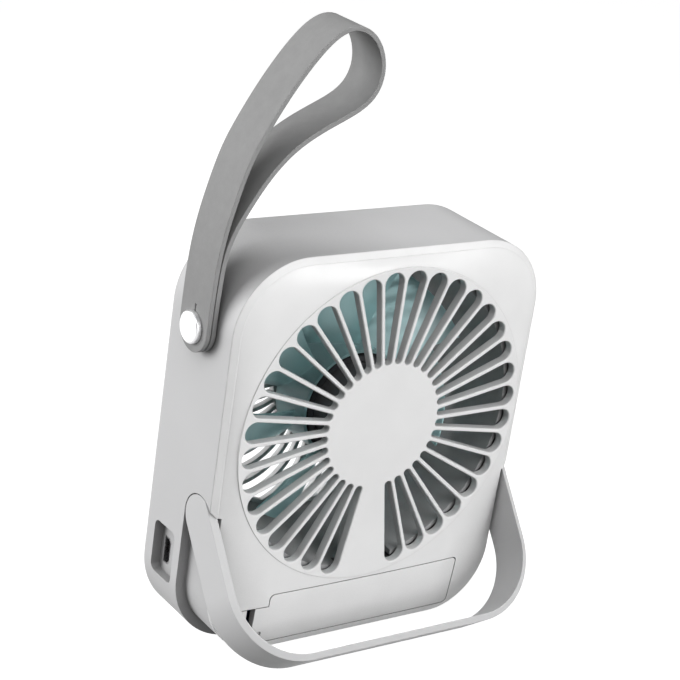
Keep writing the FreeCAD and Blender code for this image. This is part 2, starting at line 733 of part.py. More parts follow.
# ---- Battery, bay and contacts

def battery_bay():
    block = box(-BAY_HALF_L, BAY_HALF_L, BAY_BACK_Y, BAY_MOUTH_Y, 0, BAY_TOP_Z)
    block = block.common(recess_core(RECESS_WALL + BAY_GAP, BAY_BACK_Y - 1, SEAM_Y))
    room = box(-BAY_HALF_L + BAY_WALL, BAY_HALF_L - BAY_WALL, BAY_BACK_Y + BAY_WALL, SEAM_Y,
               -1, BAY_TOP_Z - BAY_ROOF)
    bay = block.cut(room)
    for x, z in BAY_SCREWS:
        ear = rod_y(BAY_EAR_R, BAY_BACK_Y, BAY_BACK_Y + 1.6, x, z)
        bridge = box(x - BAY_EAR_R, x + BAY_EAR_R, BAY_BACK_Y, BAY_BACK_Y + 1.6, BAY_TOP_Z - 1.0, z)
        bay = bay.fuse([ear, bridge]).cut(rod_y(1.25, BAY_BACK_Y - 1, BAY_BACK_Y + 3, x, z))
    for side in (-1, 1):
        post = box(min(side * 26, side * 27.2), max(side * 26, side * 27.2), BAY_BACK_Y + 0.6, CELL_Y - 6.4,
                   CELL_Z - 9, BAY_TOP_Z - 0.3)
        bay = bay.fuse(post)
    cell_room = rod_x(CELL_R + 0.15, -BAY_HALF_L + 2, BAY_HALF_L - 2, CELL_Y, CELL_Z)
    return bay.cut(cell_room).removeSplitter()


CELL_X0 = -CELL_L / 2 - 0.2
CELL_X1 = CELL_L / 2 - 0.2


def battery_cell():
    can = rod_x(CELL_R, CELL_X0, CELL_X1, CELL_Y, CELL_Z)
    rims = [e for e in can.Edges if e.Length > 50]
    can = can.makeFillet(0.6, rims)
    nub = rod_x(3.1, CELL_X1 - 0.5, CELL_X1 + 1.4, CELL_Y, CELL_Z)
    return can.fuse(nub).removeSplitter()


def battery_contact_plus():
    wall = BAY_HALF_L - BAY_WALL
    plate = box(wall - 0.4, wall, CELL_Y - 4.5, CELL_Y + 4.5, CELL_Z - 4.5, CELL_Z + 4.5)
    return plate.fuse(rod_x(2.4, CELL_X1 + 1.4, wall - 0.2, CELL_Y, CELL_Z)).removeSplitter()


def battery_contact_minus():
    """A leaf spring folded off its plate, pressing on the flat end of the cell."""
    wall = -BAY_HALF_L + BAY_WALL
    plate = box(wall, wall + 0.4, CELL_Y - 4.5, CELL_Y + 4.5, CELL_Z - 4.5, CELL_Z + 4.5)
    points = ((wall + 0.2, CELL_Z - 4.2), (wall + 0.6, CELL_Z - 4.2), (CELL_X0 - 0.4, CELL_Z),
              (CELL_X0, CELL_Z), (CELL_X0, CELL_Z + 1.6), (CELL_X0 - 0.4, CELL_Z + 1.6),
              (CELL_X0 - 0.8, CELL_Z + 0.6))
    leaf = polygon_y(points, CELL_Y - 2.5, CELL_Y + 2.5)
    return plate.fuse(leaf).removeSplitter()


def wire_run(points, radius):
    """A round wire: straight runs with a ball at each turn."""
    pieces = []
    for start, end in zip(points, points[1:]):
        step = V(*end).sub(V(*start))
        pieces.append(Part.makeCylinder(radius, step.Length, V(*start), step))
    for corner in points[1:-1]:
        pieces.append(Part.makeSphere(radius, V(*corner)))
    return union(pieces)


def battery_leads():
    end = BAY_HALF_L + 0.9
    board_top = BOARD_Y + BOARD_T + 0.75
    plus = wire_run(((end, CELL_Y, CELL_Z + 1), (end, -7.0, CELL_Z + 1),
                     (34.0, board_top, CELL_Z + 3)), 0.7)
    minus = wire_run(((-end, CELL_Y, CELL_Z + 1), (-end, -7.0, CELL_Z + 1),
                      (-10.0, board_top, CELL_Z - 1)), 0.7)
    return Part.makeCompound([plus, minus])


# ---- Circuit board, socket, switch, button, light

def circuit_board():
    board = polygon_y(BOARD_POINTS, BOARD_Y, BOARD_Y + BOARD_T)
    for x, z in BOARD_SCREWS:
        board = board.cut(rod_y(1.1, BOARD_Y - 1, BOARD_Y + 3, x, z))
    chips = [(6.0, 14.0, 6.0, 5.0, 1.4), (18.0, 12.0, 5.0, 4.0, 1.2), (24.0, 18.0, 4.0, 4.0, 2.4),
             (-4.0, 16.0, 3.0, 2.0, 0.9)]
    parts = [board]
    for x, z, wide, high, tall in chips:
        parts.append(box(x - wide / 2, x + wide / 2, BOARD_Y + BOARD_T - 0.1, BOARD_Y + BOARD_T + tall,
                         z - high / 2, z + high / 2))
    return union(parts)


def usb_socket():
    x1 = HALF_W - USB_POCKET_DEPTH
    x0 = x1 - USB_LENGTH
    shell = usb_section(USB_SHELL_T, x0, x1).cut(usb_section(0.0, x0 + 0.6, x1 + 1))
    return shell


def usb_tongue():
    x1 = HALF_W - USB_POCKET_DEPTH - 0.8
    x0 = x1 - USB_LENGTH + 1.4
    return box(x0, x1, USB_PORT_Y - 0.35, USB_PORT_Y + 0.35, USB_PORT_Z - 2.4, USB_PORT_Z + 2.4)


def tact_switch():
    half = SWITCH_SIZE / 2
    body = box(BUTTON_X - half, BUTTON_X + half, BOARD_Y - SWITCH_H, BOARD_Y,
               BUTTON_Z - half, BUTTON_Z + half)
    return body.cut(rod_y(PLUNGER_R + 0.1, BOARD_Y - SWITCH_H - 1, BOARD_Y - 0.6, BUTTON_X, BUTTON_Z))


PLUNGER_TOP_Y = BOARD_Y - SWITCH_H - 0.9


def switch_plunger():
    return rod_y(PLUNGER_R, PLUNGER_TOP_Y, BOARD_Y - 1.7, BUTTON_X, BUTTON_Z)


def power_button():
    face_y = FRONT_Y - BUTTON_PROUD
    cap = rod_y(BUTTON_R, face_y, FRONT_Y + FRONT_WALL + 0.2, BUTTON_X, BUTTON_Z)
    rim = [e for e in cap.Edges if abs(e.CenterOfMass.y - face_y) < 0.01]
    cap = cap.makeFillet(0.5, rim)
    flange_y = FRONT_Y + FRONT_WALL + 0.02
    flange = rod_y(BUTTON_FLANGE_R, flange_y, PLUNGER_TOP_Y, BUTTON_X, BUTTON_Z)
    return cap.fuse(flange).removeSplitter()


def indicator_lens():
    pin = rod_y(LIGHT_R - 0.05, FRONT_Y, FRONT_Y + FRONT_WALL + 0.02, LIGHT_X, BUTTON_Z)
    foot = rod_y(LIGHT_R + 0.7, FRONT_Y + FRONT_WALL, BOARD_Y - 0.9, LIGHT_X, BUTTON_Z)
    return pin.fuse(foot).removeSplitter()


def indicator_led():
    return box(LIGHT_X - 0.8, LIGHT_X + 0.8, BOARD_Y - 0.7, BOARD_Y, BUTTON_Z - 0.5, BUTTON_Z + 0.5)


def screw_y(x, z, y_head, length, radius, head_r, head_h, sign):
    """A small screw along Y: the head stands on the +sign side of y_head."""
    far = y_head + sign * head_h
    tip = y_head - sign * length
    shank = rod_y(radius, min(tip, y_head), max(tip, y_head), x, z)
    head = rod_y(head_r, min(far, y_head), max(far, y_head), x, z)
    groove_end = far - sign * 0.5
    groove = box(x - head_r, x + head_r, min(far, groove_end), max(far, groove_end), z - 0.25, z + 0.25)
    return shank.fuse(head).cut(groove)


def board_screws():
    return Part.makeCompound([screw_y(x, z, BOARD_Y + BOARD_T, 4.2, 0.88, 1.9, 1.1, 1)
                              for x, z in BOARD_SCREWS])


def bay_screws():
    return Part.makeCompound([screw_y(x, z, BAY_BACK_Y + 1.6, 6.5, 0.88, 2.0, 1.1, 1)
                              for x, z in BAY_SCREWS])


# ---- Motor and impeller

def mount_screw_places():
    places = []
    for index in range(3):
        angle = math.radians(90 + 120 * index)
        places.append((MOUNT_SCREW_R * math.cos(angle), AXIS_Z + MOUNT_SCREW_R * math.sin(angle)))
    return places


def motor_mount():
    cup = rod_y(MOUNT_R, MOUNT_END_Y, COVER_INNER_Y)
    cup = cup.cut(rod_y(MOUNT_R - MOUNT_WALL, MOUNT_END_Y + 2.0, COVER_INNER_Y + 1))
    cup = cup.cut(rod_y(TUBE_R, MOUNT_END_Y - 1, MOUNT_END_Y + 3))
    cup = cup.fuse(ring_y(MOUNT_SKIRT_R[1], MOUNT_SKIRT_R[0], MOUNT_SKIRT_END_Y, MOUNT_END_Y + 0.5))
    for x, z in mount_screw_places():
        cup = cup.fuse(rod_y(2.3, MOUNT_END_Y + 1.0, MOUNT_END_Y + 4.5, x, z))
        cup = cup.cut(rod_y(1.1, MOUNT_END_Y - 1, MOUNT_END_Y + 6, x, z))
        cup = cup.cut(rod_y(2.1, MOUNT_END_Y - 1, MOUNT_END_Y + 1.2, x, z))
    exit_slot = box(-2.2, 2.2, COVER_INNER_Y - 3.0, COVER_INNER_Y + 1, AXIS_Z - MOUNT_R - 1, AXIS_Z - MOUNT_R + 3)
    return cup.cut(exit_slot).removeSplitter()


def motor_screws():
    y_head = MOUNT_END_Y + 1.2
    return Part.makeCompound([screw_y(x, z, y_head, 7.5, 0.88, 1.9, 1.1, -1)
                              for x, z in mount_screw_places()])


def bearing_tube():
    return ring_y(TUBE_R, TUBE_BORE, STATOR_Y[0] - 1.0, MOUNT_END_Y + 2.0)


def shaft_bearings():
    front = ring_y(TUBE_BORE - 0.01, SHAFT_R + 0.05, STATOR_Y[0] - 1.0, STATOR_Y[0] + 2.0)
    rear = ring_y(TUBE_BORE - 0.01, SHAFT_R + 0.05, MOUNT_END_Y - 2.0, MOUNT_END_Y + 1.0)
    return Part.makeCompound([front, rear])


def stator_core():
    y0, y1 = STATOR_Y
    parts = [ring_y(STATOR_HUB_R, TUBE_R, y0, y1)]
    span = 360.0 / STATOR_POLES
    half = math.radians(span / 2 - 3.5)
    reach = STATOR_R * 1.5
    wedge = polygon_y(((0, AXIS_Z), (reach * math.cos(half), AXIS_Z - reach * math.sin(half)),
                       (reach * math.cos(half), AXIS_Z + reach * math.sin(half))), y0, y1)
    shoe = ring_y(STATOR_R, STATOR_R - STATOR_SHOE, y0, y1).common(wedge)
    neck = box(STATOR_HUB_R - 0.4, STATOR_R - STATOR_SHOE + 0.3, y0, y1,
               AXIS_Z - STATOR_NECK_HALF, AXIS_Z + STATOR_NECK_HALF)
    for index in range(STATOR_POLES):
        pole = neck.fuse(shoe)
        pole.rotate(V(0, 0, AXIS_Z), V(0, 1, 0), span * index)
        parts.append(pole)
    return union(parts)


def stator_windings():
    y0, y1 = STATOR_Y
    start = STATOR_HUB_R + 0.5
    end = STATOR_R - STATOR_SHOE - 0.3
    outer = box(start, end, y0 - COIL_OVERHANG, y1 + COIL_OVERHANG, AXIS_Z - COIL_HALF_W, AXIS_Z + COIL_HALF_W)
    slope = math.tan(math.radians(180.0 / STATOR_POLES - 1.5))
    sector = polygon_y(((0, AXIS_Z), (end, AXIS_Z - end * slope), (end, AXIS_Z + end * slope)), y0 - 2, y1 + 2)
    core = box(start - 1, end + 1, y0, y1, AXIS_Z - STATOR_NECK_HALF, AXIS_Z + STATOR_NECK_HALF)
    coils = []
    for index in range(STATOR_POLES):
        coil = outer.common(sector).cut(core)
        coil.rotate(V(0, 0, AXIS_Z), V(0, 1, 0), 360.0 / STATOR_POLES * index)
        coils.append(coil)
    return Part.makeCompound(coils)


def motor_board():
    disc = ring_y(MOUNT_SKIRT_R[0] - 0.2, TUBE_R, MOUNT_END_Y - 1.2, MOUNT_END_Y)
    for x, z in mount_screw_places():
        disc = disc.cut(rod_y(2.4, MOUNT_END_Y - 3, MOUNT_END_Y + 1, x, z))
    return disc


def motor_leads():
    """Two wires: down the cover's channel, along the top of the bay, forward to the board."""
    top = AXIS_Z - MOUNT_R + 1.2
    low = BAY_TOP_Z + 1.1
    leads = []
    runs = ((-1.0, COVER_INNER_Y - 0.7, -22.0, -15.0), (1.0, COVER_INNER_Y - 2.1, -20.0, -13.0))
    for x, back_y, turn_x, end_x in runs:
        route = ((x, back_y, top), (x, back_y, low), (turn_x, back_y, low), (turn_x, -9.0, low),
                 (end_x, BOARD_Y + BOARD_T + 0.9, 21.6))
        leads.append(wire_run(route, 0.6))
    return Part.makeCompound(leads)


def rotor_cup():
    y0, y1 = CUP_Y
    cup = rod_y(CUP_R, y0, y1).cut(rod_y(MAGNET_R[1], y0 + 1.1, y1 + 1))
    return cup.cut(rod_y(SHAFT_R, y0 - 1, y0 + 3))


def magnet_ring():
    return ring_y(MAGNET_R[1], MAGNET_R[0], CUP_Y[0] + 2.2, CUP_Y[1] - 0.4)


def motor_shaft():
    return rod_y(SHAFT_R, CUP_Y[0], MOUNT_END_Y + 1.6)


def blade_section(radius, chord, pitch_deg, camber, lean_deg):
    """A thin cambered section, square to the radius, closed round both faces."""
    pitch = math.radians(pitch_deg)
    upper = []
    lower = []
    for index in range(7):
        share = index / 6.0
        along = (share - 0.5) * chord
        bow = camber * (1 - (2 * share - 1) ** 2)
        half = BLADE_T / 2 * (0.45 + 0.55 * (1 - (2 * share - 1) ** 2))
        for side, store in ((1, upper), (-1, lower)):
            across = bow + side * half
            u = along * math.cos(pitch) - across * math.sin(pitch)
            y = along * math.sin(pitch) + across * math.cos(pitch)
            store.append(V(radius, BLADE_MID_Y + y, AXIS_Z + u))
    top = Part.BSplineCurve()
    top.interpolate(Points=upper)
    bottom = Part.BSplineCurve()
    bottom.interpolate(Points=list(reversed(lower)))
    edges = [top.toShape(), Part.makeLine(upper[-1], lower[-1]), bottom.toShape(),
             Part.makeLine(lower[0], upper[0])]
    wire = Part.Wire(edges)
    wire.rotate(V(0, 0, AXIS_Z), V(0, 1, 0), -lean_deg)
    return wire


def blade():
    sections = [blade_section(*station) for station in BLADE_STATIONS]
    return Part.makeLoft(sections, True, False)


def impeller():
    y0, y1 = HUB_Y
    hub = rod_y(HUB_R, y0, y1)
    front = [e for e in hub.Edges if abs(e.CenterOfMass.y - y0) < 0.01]
    hub = hub.makeFillet(1.2, front)
    ring = ring_y(BLADE_R, HUB_R - 0.8, -40, 40)
    parts = [hub]
    for index in range(BLADE_COUNT):
        one = blade().common(ring)
        one.rotate(V(0, 0, AXIS_Z), V(0, 1, 0), 360.0 / BLADE_COUNT * (index + 0.5))
        parts.append(one)
    whole = union(parts)
    return whole.cut(rod_y(CUP_R + 0.02, CUP_Y[0] - 0.02, y1 + 1))


# ---- Write every node

def main():
    blank = cover_blank()
    nodes = {
        "housing": housing(),
        "rear_cover": rear_cover(blank),
        "front_grille": front_grille(),
        "battery_door": battery_door(blank),
        "battery_bay": battery_bay(),
        "battery_cell": battery_cell(),
        "battery_contact_plus": battery_contact_plus(),
        "battery_contact_minus": battery_contact_minus(),
        "battery_leads": battery_leads(),
        "circuit_board": circuit_board(),
        "usb_socket": usb_socket(),
        "usb_tongue": usb_tongue(),
        "tact_switch": tact_switch(),
        "switch_plunger": switch_plunger(),
        "power_button": power_button(),
        "indicator_lens": indicator_lens(),
        "indicator_led": indicator_led(),
        "board_screws": board_screws(),
        "bay_screws": bay_screws(),
        "motor_mount": motor_mount(),
        "motor_screws": motor_screws(),
        "bearing_tube": bearing_tube(),
        "shaft_bearings": shaft_bearings(),
        "stator_core": stator_core(),
        "stator_windings": stator_windings(),
        "motor_board": motor_board(),
        "motor_leads": motor_leads(),
        "rotor_cup": rotor_cup(),
        "magnet_ring": magnet_ring(),
        "motor_shaft": motor_shaft(),
        "impeller": impeller(),
        "stand": stand(),
        "stand_spacers": both_sides(stand_spacer),
        "stand_spring_washers": both_sides(stand_spring_washer),
        "stand_retainers": both_sides(stand_retainer),
        "stand_screws": both_sides(stand_screw),
        "strap": strap(),
        "strap_washer": strap_washer(),
        "rivet_cap": rivet_cap(),
        "rivet_washer": rivet_washer(),
        "rivet_nut": rivet_nut(),
    }
    os.makedirs("parts", exist_ok=True)
    for name, shape in nodes.items():
        set_down(shape)
        shape.exportStep("parts/" + name + ".step")
        print(name, "solids", len(shape.Solids), "valid", shape.isValid(), "volume", round(shape.Volume, 1))


main()
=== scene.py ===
import json
import math

import bmesh
import bpy
import numpy as np
from mathutils import Matrix, Vector


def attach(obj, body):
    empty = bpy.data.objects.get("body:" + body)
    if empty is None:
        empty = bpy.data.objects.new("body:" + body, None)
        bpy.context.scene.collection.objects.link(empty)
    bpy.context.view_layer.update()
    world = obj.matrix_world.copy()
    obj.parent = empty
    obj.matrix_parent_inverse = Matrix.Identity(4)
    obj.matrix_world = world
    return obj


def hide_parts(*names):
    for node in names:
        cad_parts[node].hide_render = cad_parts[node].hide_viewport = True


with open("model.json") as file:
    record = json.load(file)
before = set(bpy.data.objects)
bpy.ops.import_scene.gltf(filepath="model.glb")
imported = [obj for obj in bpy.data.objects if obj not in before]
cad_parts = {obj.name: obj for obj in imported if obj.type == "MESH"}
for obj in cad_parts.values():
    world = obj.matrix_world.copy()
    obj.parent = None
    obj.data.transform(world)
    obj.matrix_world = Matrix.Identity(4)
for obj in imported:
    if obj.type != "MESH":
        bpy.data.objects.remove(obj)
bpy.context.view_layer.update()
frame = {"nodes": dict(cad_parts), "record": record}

# A portable box fan: grey shell, white slotted cover, fold-out stand, silicone strap.
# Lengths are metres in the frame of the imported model: Z up, the slotted cover faces +Y.

MM = 0.001

# The fan leans back on its open stand, about a line along the bottom of the shell.
LEAN = math.radians(10.2377)
FACET_MIDDLE = Vector((0.0, 0.8426, 0.2)) * MM
SET_DOWN = Matrix.Rotation(-LEAN, 4, "X") @ Matrix.Translation(-FACET_MIDDLE)


# ---------------------------------------------------------------- camera

CAMERA_AZIMUTH = 144.53
CAMERA_ELEVATION = 13.25
CAMERA_ROLL = 2.17
CAMERA_DISTANCE = 614.09 * MM
CAMERA_LENS = 107.84
CAMERA_AIM = Vector((6.24, 16.07, 93.75)) * MM


def make_camera():
    """The camera looks down a little from behind the fan, tipped round its own axis."""
    azimuth = math.radians(CAMERA_AZIMUTH)
    elevation = math.radians(CAMERA_ELEVATION)
    back = Vector((math.sin(azimuth) * math.cos(elevation),
                   -math.cos(azimuth) * math.cos(elevation),
                   math.sin(elevation)))
    level = back.to_track_quat("Z", "Y").to_matrix()
    roll = Matrix.Rotation(math.radians(CAMERA_ROLL), 3, "Z")
    data = bpy.data.cameras.new("camera")
    data.lens = CAMERA_LENS
    data.sensor_width = 36.0
    data.clip_start = 0.01
    data.clip_end = 20.0
    camera = bpy.data.objects.new("camera", data)
    bpy.context.scene.collection.objects.link(camera)
    place = (level @ roll).to_4x4()
    place.translation = CAMERA_AIM + back * CAMERA_DISTANCE
    camera.matrix_world = place
    bpy.context.scene.camera = camera


# ---------------------------------------------------------------- studio

FLOOR_REACH = 14.0
FLOOR_GLOW = 0.97
FLOOR_GLOW_IN_GLOSS = 0.58
AMBIENT = 0.08
LIGHT_AIM = (0.0, 0.013, 0.079)
SOFT_LIGHTS = (
    ("rear_key", (-0.25, 1.32, 0.36), 0.8, 9.4),
    ("rear_fill", (-0.60, 1.20, 0.35), 0.8, 6.1),
    ("side_light", (1.20, -0.63, 0.47), 0.9, 18.5),
    ("top_light", (0.00, -0.27, 1.32), 0.9, 5.2),
    ("corner_light", (0.50, 0.75, 1.00), 0.9, 5.6),
)


def area_light(name, place, size, power):
    data = bpy.data.lights.new(name, "AREA")
    data.shape = "SQUARE"
    data.size = size
    data.energy = power
    light = bpy.data.objects.new(name, data)
    bpy.context.scene.collection.objects.link(light)
    light.location = place
    light.rotation_mode = "QUATERNION"
    light.rotation_quaternion = (Vector(LIGHT_AIM) - Vector(place)).to_track_quat("-Z", "Y")
    light.visible_camera = False


def make_sky():
    """White to the eye and through the clear blades, but hardly any of it lights the fan."""
    world = bpy.data.worlds.new("studio")
    world.use_nodes = True
    nodes = Nodes(world.node_tree, "Background")
    by_eye = nodes.node("ShaderNodeLightPath", output="Is Camera Ray")
    through_blades = nodes.node("ShaderNodeLightPath", output="Is Transmission Ray")
    seen = by_eye.larger(through_blades)
    strength = nodes.node("ShaderNodeMapRange", {}, {"Value": seen, "To Min": AMBIENT})
    nodes.set(Color=grey(1.0), Strength=strength)
    bpy.context.scene.world = world


def make_floor():
    """A pale floor that catches shadows and shows in the gloss, but throws no light back up."""
    corners = [(-FLOOR_REACH, -FLOOR_REACH, 0), (FLOOR_REACH, -FLOOR_REACH, 0),
               (FLOOR_REACH, FLOOR_REACH, 0), (-FLOOR_REACH, FLOOR_REACH, 0)]
    mesh = bpy.data.meshes.new("floor")
    mesh.from_pydata(corners, [], [(0, 1, 2, 3)])
    mesh.materials.append(floor_finish())
    floor = bpy.data.objects.new("floor", mesh)
    bpy.context.scene.collection.objects.link(floor)
    floor.visible_diffuse = False
    floor.visible_shadow = False


def make_studio():
    """A pale floor, a white sky, and soft lights round the fan."""
    make_sky()
    make_floor()
    for name, place, size, power in SOFT_LIGHTS:
        area_light(name, place, size, power)


# ---------------------------------------------------------------- shader maths

NOISE_REACH = (0.3, 0.7)
# Samples for the painted shade in hollows.
PAINTED_SHADE_SAMPLES = 8
EDGE_SAMPLES = 6


class Value:
    """A node's output that can be written into arithmetic."""

    def __init__(self, nodes, socket):
        self.nodes = nodes
        self.socket = socket

    def _maths(self, operation, first, second):
        return self.nodes.node("ShaderNodeMath", {"operation": operation}, {0: first, 1: second})

    def __add__(self, other):
        return self._maths("ADD", self, other)

    def __radd__(self, other):
        return self._maths("ADD", other, self)

    def larger(self, other):
        return self._maths("MAXIMUM", self, other)


class Nodes:
    """A node tree built a node at a time, round the shader node that it ends in."""

    def __init__(self, tree, last):
        self.tree = tree
        self.last = tree.nodes[last]

    def node(self, kind, settings=None, inputs=None, output=0):
        """Adds a node: its settings first, then the values or links of its sockets."""
        made = self.tree.nodes.new(kind)
        for name, value in (settings or {}).items():
            setattr(made, name, value)
        for name, value in (inputs or {}).items():
            self._feed(made.inputs[name], value)
        return Value(self, made.outputs[output])

    def _feed(self, socket, value):
        if isinstance(value, Value):
            self.tree.links.new(value.socket, socket)
        else:
            socket.default_value = value

    def set(self, **sockets):
        """Sets the last node's sockets; an underscore in a name stands for a space."""
        for name, value in sockets.items():
            self._feed(self.last.inputs[name.replace("_", " ")], value)


class Shader(Nodes):
    """One material's nodes, with the patterns and wear that the finishes share."""

    def __init__(self, name):
        self.material = bpy.data.materials.new(name)
        self.material.use_nodes = True
        super().__init__(self.material.node_tree, "Principled BSDF")

    def place(self):
        """The point on the piece, in metres, that patterns are laid out by."""
        return self.node("ShaderNodeTexCoord", output="Object")

    def noise(self, size, detail=2.0, rough=0.5, place=None):
        """Even noise from 0 to 1 with features of that size, in metres."""
        return self.node("ShaderNodeTexNoise", {"noise_dimensions": "3D"},
                         {"Vector": place or self.place(), "Scale": 1.0 / size,
                          "Detail": detail, "Roughness": rough})

    def spread(self, value, low, high):
        """Stretches a noise, which keeps near its middle, over low to high."""
        noise_low, noise_top = NOISE_REACH
        return self.node("ShaderNodeMapRange", {},
                         {"Value": value, "From Min": noise_low, "From Max": noise_top,
                          "To Min": low, "To Max": high})

    def blend(self, factor, first, second):
        """Mixes two colours."""
        return self.node("ShaderNodeMix", {"data_type": "RGBA"},
                         {0: factor, 6: first, 7: second}, output=2)

    def hollow_shade(self, reach, darkest_painted_shade):
        """Painted shade: 1 in the open, down to the darkest shade inside holes narrower than the reach.
        """
        free = self.node("ShaderNodeAmbientOcclusion", {"samples": PAINTED_SHADE_SAMPLES},
                         {"Distance": reach}, output="AO")
        return self.node("ShaderNodeMapRange", {}, {"Value": free, "To Min": darkest_painted_shade, "To Max": 1.0})

    def painted_shade(self, colour, reach, darkest_painted_shade):
        """Paints shade into a colour: darkens it in the hollows of the piece, where less light gets in.
        """
        return self.node("ShaderNodeMix", {"data_type": "RGBA", "blend_type": "MULTIPLY"},
                         {0: 1.0, 6: colour, 7: self.hollow_shade(reach, darkest_painted_shade)}, output=2)

    def bump(self, height, depth, edge=0.0):
        """Raises the grain by depth, and rounds the piece's sharp edges by edge, in metres."""
        sockets = {"Height": height, "Distance": depth, "Strength": 1.0}
        if edge > 0.0:
            sockets["Normal"] = self.node("ShaderNodeBevel", {"samples": EDGE_SAMPLES}, {"Radius": edge})
        self.set(Normal=self.node("ShaderNodeBump", {}, sockets))


def grey(level):
    return (level, level, level, 1.0)


# ---------------------------------------------------------------- finishes

def floor_finish():
    """Pale paper, lit from within so that it's as white as the sky behind it."""
    shader = Shader("floor_paper")
    tone = shader.spread(shader.noise(0.35, 3.0), 0.0, 1.0)
    shader.set(Base_Color=shader.blend(tone, grey(0.22), grey(0.25)), Roughness=0.9)
    seen = shader.node("ShaderNodeLightPath", output="Is Camera Ray")
    glow = shader.blend(seen, grey(FLOOR_GLOW_IN_GLOSS), grey(FLOOR_GLOW))
    shader.set(Emission_Color=glow, Emission_Strength=1.0)
    return shader.material


def moulded(name, tone, roughness=0.42, grain=0.4 * MM, depth=0.010 * MM, spread=0.02,
            edge=0.3 * MM, reach=20 * MM, darkest_painted_shade=1.0):
    """Moulded plastic: a fine eroded grain, faint flow shading and uneven gloss, and painted shade in
    the hollows when asked for.
    """
    shader = Shader(name)
    flow = shader.noise(30 * MM, 2.0)
    speck = shader.noise(grain, 3.0, 0.6)
    dark = [level * (1.0 - spread) for level in tone] + [1.0]
    light = [min(level * (1.0 + spread), 1.0) for level in tone] + [1.0]
    mottle = shader.spread(flow, 0.0, 0.7) + shader.spread(speck, 0.0, 0.3)
    colour = shader.blend(mottle, dark, light)
    # Painted shade: darkens the colour in hollows and recesses, where less light reaches.
    if darkest_painted_shade < 1.0:
        colour = shader.painted_shade(colour, reach, darkest_painted_shade)
    shader.set(Base_Color=colour)
    shader.set(Roughness=shader.spread(speck, roughness - 0.05, roughness + 0.05))
    shader.bump(speck, depth, edge)
    return shader.material


def housing_finish():
    # Painted shade darkens the grey in hollows, most of all inside the duct.
    return moulded("housing_grey", (0.60, 0.60, 0.605), roughness=0.50, grain=0.35 * MM,
                   depth=0.012 * MM, reach=45 * MM, darkest_painted_shade=0.25)


def cover_finish():
    """Polished mould: no grain, only a slow waviness under a clear gloss, and painted shade in the slots
    and hollows.
    """
    shader = Shader("cover_white")
    wave = shader.noise(12 * MM, 2.0)
    speck = shader.noise(0.6 * MM, 2.0)
    mottle = shader.spread(wave, 0.0, 1.0)
    white = shader.blend(mottle, grey(0.80), grey(0.83))
    # Painted shade: the white is darkened in the slots and hollows.
    shader.set(Base_Color=shader.painted_shade(white, 20 * MM, 0.25))
    shader.set(Roughness=shader.spread(speck, 0.28, 0.32))
    shader.bump(wave, 0.03 * MM, 0.2 * MM)
    return shader.material


def strap_finish():
    """Matt silicone: a soft dusty bloom and a very fine grain."""
    shader = Shader("strap_silicone")
    grain = shader.noise(0.22 * MM, 3.0, 0.7)
    dust = shader.noise(4 * MM, 4.0, 0.65)
    mottle = shader.spread(dust, 0.0, 0.6) + shader.spread(grain, 0.0, 0.4)
    shader.set(Base_Color=shader.blend(mottle, grey(0.245), grey(0.29)))
    shader.set(Roughness=shader.spread(grain, 0.62, 0.78))
    shader.bump(grain, 0.02 * MM)
    return shader.material


def metal(name, tone, roughness, grain=0.4 * MM, brushed=1.0, depth=0.004 * MM):
    """Metal with a fine grain, drawn out along one way where it is brushed."""
    shader = Shader(name)
    along = shader.node("ShaderNodeMapping", {},
                        {"Vector": shader.place(), "Scale": (1.0, brushed, brushed)})
    line = shader.noise(grain, 2.0, 0.6, along)
    dark = [level * 0.9 for level in tone] + [1.0]
    shader.set(Base_Color=shader.blend(shader.spread(line, 0.0, 1.0), dark, list(tone) + [1.0]))
    shader.set(Metallic=1.0, Roughness=shader.spread(line, roughness * 0.8, roughness * 1.2))
    shader.bump(line, depth)
    return shader.material


def blade_finish():
    """Tinted translucent plastic: light comes through it as well as off it."""
    shader = Shader("blade_teal")
    flow = shader.noise(10 * MM, 2.0)
    mottle = shader.spread(flow, 0.0, 1.0)
    shader.set(Base_Color=shader.blend(mottle, (0.46, 0.70, 0.71, 1.0), (0.52, 0.75, 0.76, 1.0)))
    shader.set(Roughness=shader.spread(flow, 0.30, 0.36))
    shader.set(Transmission_Weight=0.8, IOR=1.45)
    shader.bump(flow, 0.03 * MM)
    return shader.material


def board_finish():
    """Solder mask with paler tracks under it."""
    shader = Shader("board_green")
    tracks = shader.node("ShaderNodeTexBrick", {"offset": 0.3},
                         {"Vector": shader.place(), "Scale": 300.0, "Mortar Size": 0.03,
                          "Color1": grey(0.0), "Color2": grey(0.3), "Mortar": grey(1.0)})
    shader.set(Base_Color=shader.blend(tracks, (0.015, 0.11, 0.045, 1.0), (0.04, 0.22, 0.09, 1.0)))
    shader.set(Roughness=shader.spread(shader.noise(1 * MM), 0.25, 0.4))
    return shader.material


def lens_finish():
    """Clear plastic with a faint blue haze in it."""
    shader = Shader("lens_clear")
    haze = shader.noise(1 * MM, 2.0)
    mottle = shader.spread(haze, 0.0, 1.0)
    shader.set(Base_Color=shader.blend(mottle, (0.82, 0.88, 0.92, 1.0), (0.9, 0.95, 1.0, 1.0)))
    shader.set(Roughness=shader.spread(haze, 0.12, 0.22), Transmission_Weight=0.7)
    return shader.material


